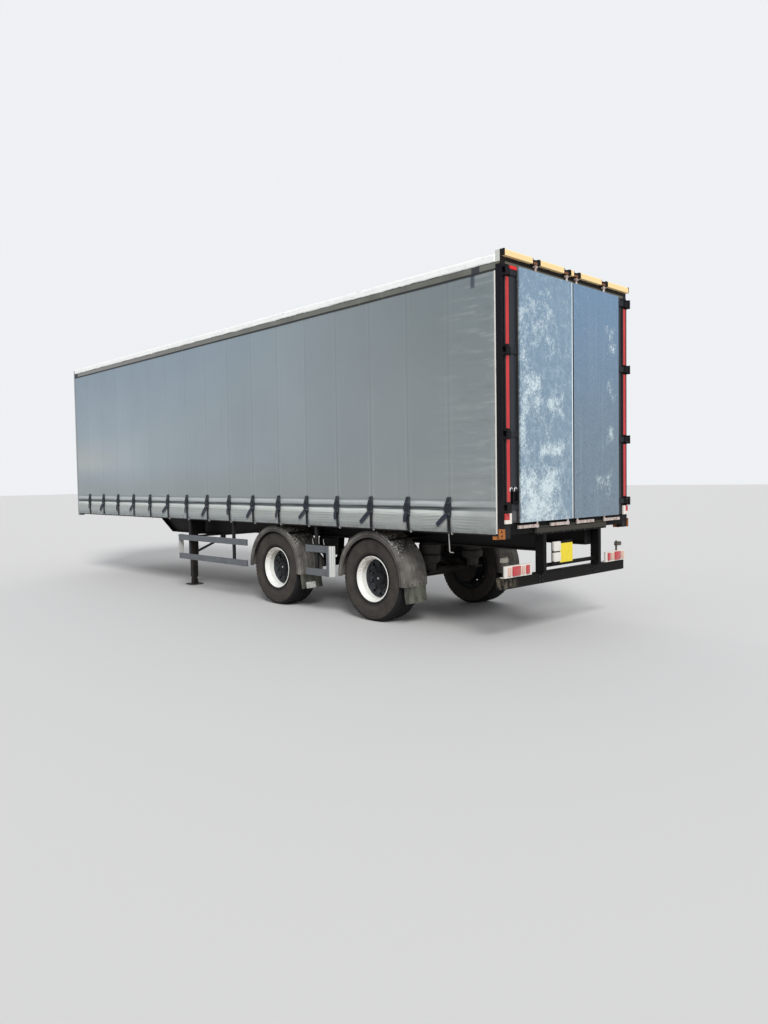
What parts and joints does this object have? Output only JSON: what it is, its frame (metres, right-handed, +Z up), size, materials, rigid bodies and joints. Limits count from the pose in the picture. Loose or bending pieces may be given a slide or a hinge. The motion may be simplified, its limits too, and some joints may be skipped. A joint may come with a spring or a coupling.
{
  "type": "curtain-sided semi trailer",
  "caption": "Tandem-axle curtain-sided semi trailer with wide single tyres, barn doors at the rear and landing legs at the front.",
  "frame": {"origin": "on the ground, under the middle of the trailer's length and width", "axes": "+X forward to the coupling end, +Y to the trailer's left, +Z up"},
  "size_m": [11, 2.5986, 4.147],
  "materials": {
    "chassis_black": "worn satin black paint with road dust",
    "bogie_black": "dusty black castings",
    "deck_board": "worn phenolic board",
    "door_black": "satin near-black paint",
    "galvanised": "spangled galvanised sheet with pale residue",
    "zinc": "zinc plate gone brown in places",
    "red_guard": "satin red",
    "cream_cowl": "faded cream",
    "curtain_vinyl": "matt grey coated fabric",
    "strap_black": "black webbing and black buckles",
    "rail_olive": "weathered dark grey rail",
    "roof_white": "crinkled translucent white sheet",
    "bulkhead_grey": "satin grey panel",
    "rust_orange": "rusted orange-brown plate",
    "guard_alloy": "dull anodised rails",
    "mudguard_plastic": "dusty grey-black plastic",
    "flap_rubber": "dusty rubber sheet",
    "bag_rubber": "black bellows rubber",
    "tyre": "dusty tyre rubber",
    "rim_white": "white-silver enamel, dusty",
    "hub_black": "black hub with grease and dust",
    "lamp_white": "white board",
    "lamp_red": "red lenses",
    "plate_yellow": "blank yellow plate",
    "coupling_steel": "greased machined steel"
  },
  "bodies": {
    "trailer": {"chassis_rails": "chassis_black", "cross_bearers": "chassis_black", "deck_floor": "deck_board", "side_raves": "chassis_black", "front_bulkhead": "bulkhead_grey", "rear_posts": "door_black", "post_strips": "red_guard", "rear_header": "door_black", "header_cowl": "cream_cowl", "rear_sill": "chassis_black", "hinge_lugs": "door_black", "curtain_straps": "strap_black", "curtain_tensioners": "rust_orange", "cant_rails": "rail_olive", "roof_sheet": "roof_white", "roof_bows": "guard_alloy", "sliding_pillars": "bulkhead_grey", "skid_plate": "coupling_steel", "kingpin": "coupling_steel", "landing_legs": "chassis_black", "landing_feet": "chassis_black", "air_vessels": "chassis_black", "side_guards": "guard_alloy", "guard_hangers": "chassis_black", "underrun_frame": "chassis_black", "underrun_bar": "chassis_black", "lamp_boards": "lamp_white", "rear_lamps": "lamp_red", "number_plate": "plate_yellow", "outline_markers": "lamp_red", "axles": "bogie_black", "suspension": "bogie_black", "air_bags": "bag_rubber", "mudguards": "mudguard_plastic", "mud_flaps": "flap_rubber", "curtain_left": "curtain_vinyl", "curtain_right": "curtain_vinyl"},
    "door_left": {"door_left": "door_black", "door_hinges_left": "door_black", "door_panel_left": "galvanised", "lock_rods_left": "zinc", "door_fittings_left": "lamp_red"},
    "door_right": {"door_right": "door_black", "door_hinges_right": "door_black", "door_panel_right": "galvanised", "lock_rods_right": "zinc"},
    "wheels_rear_left": {"tyres_rear_left": "tyre", "rims_rear_left": "rim_white", "hub_rear_left": "hub_black"},
    "wheels_rear_right": {"tyres_rear_right": "tyre", "rims_rear_right": "rim_white", "hub_rear_right": "hub_black"},
    "wheels_front_left": {"tyres_front_left": "tyre", "rims_front_left": "rim_white", "hub_front_left": "hub_black"},
    "wheels_front_right": {"tyres_front_right": "tyre", "rims_front_right": "rim_white", "hub_front_right": "hub_black"}
  },
  "joints": [
    {"name": "door_left_hinge", "type": "hinge", "parent": "trailer", "child": "door_left", "pos_m": [-5.483, 1.25, 1.48], "axis": [0, 0, -1], "range_deg": [0, 260]},
    {"name": "door_right_hinge", "type": "hinge", "parent": "trailer", "child": "door_right", "pos_m": [-5.483, -1.25, 1.48], "axis": [0, 0, 1], "range_deg": [0, 260]},
    {"name": "wheels_rear_left_spin", "type": "hinge", "parent": "trailer", "child": "wheels_rear_left", "pos_m": [-3.241, 0.955, 0.535], "axis": [0, 1, 0], "continuous": true},
    {"name": "wheels_rear_right_spin", "type": "hinge", "parent": "trailer", "child": "wheels_rear_right", "pos_m": [-3.241, -0.955, 0.535], "axis": [0, 1, 0], "continuous": true},
    {"name": "wheels_front_left_spin", "type": "hinge", "parent": "trailer", "child": "wheels_front_left", "pos_m": [-1.201, 0.955, 0.535], "axis": [0, 1, 0], "continuous": true},
    {"name": "wheels_front_right_spin", "type": "hinge", "parent": "trailer", "child": "wheels_front_right", "pos_m": [-1.201, -0.955, 0.535], "axis": [0, 1, 0], "continuous": true}
  ]
}
